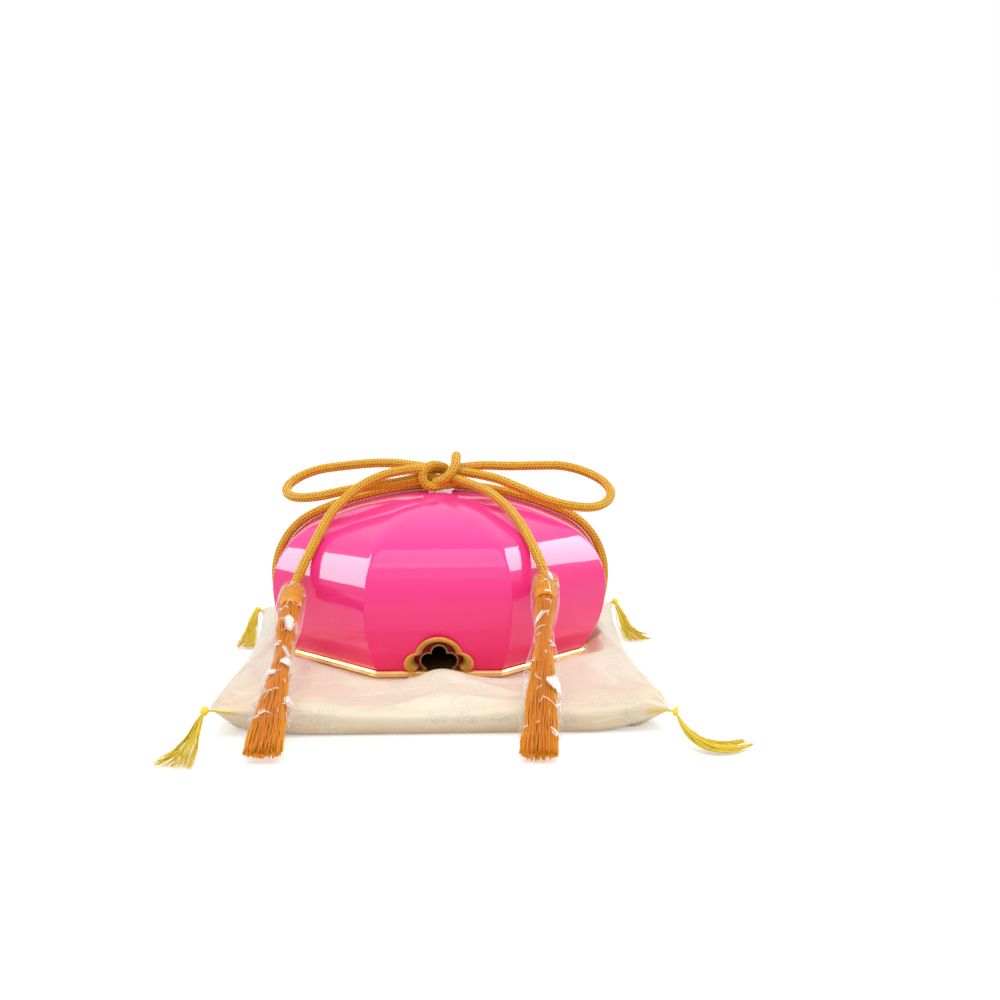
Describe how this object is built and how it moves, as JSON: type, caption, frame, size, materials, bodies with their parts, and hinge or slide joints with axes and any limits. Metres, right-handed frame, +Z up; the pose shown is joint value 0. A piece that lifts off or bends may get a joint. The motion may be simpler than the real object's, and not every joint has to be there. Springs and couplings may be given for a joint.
{
  "type": "cosmetic box",
  "caption": "Eight-sided lacquered cosmetic box with a lift-off domed lid, inner tray and plum-shaped mouth, tied with a tasselled cord on a square cushion.",
  "frame": {"origin": "on the cushion's flat underside, on the table below the middle of the box", "axes": "+Z up, -Y out of the box's plum-shaped mouth, +X to the right seen from the front"},
  "size_m": [0.3798, 0.3812, 0.1694],
  "materials": {
    "pink_lacquer": "high gloss hot pink lacquer over wood",
    "gold_fitting": "polished gilt metal",
    "gold_lacquer": "polished gold lacquer over wood",
    "speckled_lacquer": "dark brown lacquer with fine gold flakes, gloss",
    "red_lacquer": "deep red lacquer, gloss",
    "cord_silk": "round braided silk cord",
    "tassel_silk": "twisted silk threads",
    "clear_film": "clear crinkled film",
    "cushion_brocade": "ivory satin brocade",
    "yellow_silk": "loose silk threads"
  },
  "bodies": {
    "cushion": {"cushion": "cushion_brocade", "corner_tassel_front_left": "yellow_silk", "corner_tassel_front_right": "yellow_silk", "corner_tassel_back_left": "yellow_silk", "corner_tassel_back_right": "yellow_silk"},
    "base": {"gold_band": "gold_lacquer", "floor_board": "speckled_lacquer", "inner_wall": "red_lacquer", "tray_ledge": "red_lacquer", "inner_mouth_ring": "gold_fitting", "lower_petals": "gold_fitting", "cord_under": "cord_silk"},
    "lid": {"lid_shell": "pink_lacquer", "mouth_collar": "gold_fitting", "cord_knot": "cord_silk", "cord_side_left": "cord_silk", "cord_side_right": "cord_silk", "cord_loop_left": "cord_silk", "cord_loop_right": "cord_silk", "cord_tail_left": "cord_silk", "cord_tail_right": "cord_silk", "tassel_head_left": "tassel_silk", "tassel_bind_left": "tassel_silk", "tassel_skirt_left": "tassel_silk", "tassel_sleeve_left": "clear_film", "tassel_head_right": "tassel_silk", "tassel_bind_right": "tassel_silk", "tassel_skirt_right": "tassel_silk", "tassel_sleeve_right": "clear_film"},
    "tray": {"tray_frame": "red_lacquer", "tray_floor": "speckled_lacquer"}
  },
  "joints": [
    {"name": "box_lift", "type": "slide", "parent": "cushion", "child": "base", "axis": [0, 0, 1], "range_m": [0, 0.15]},
    {"name": "lid_lift", "type": "slide", "parent": "base", "child": "lid", "axis": [0, 0, 1], "range_m": [0, 0.15]},
    {"name": "tray_lift", "type": "slide", "parent": "base", "child": "tray", "axis": [0, 0, 1], "range_m": [0, 0.06]}
  ],
  "couplings": [
    {"joint": "tray_lift", "follows": "lid_lift", "ratio": 0.4}
  ]
}
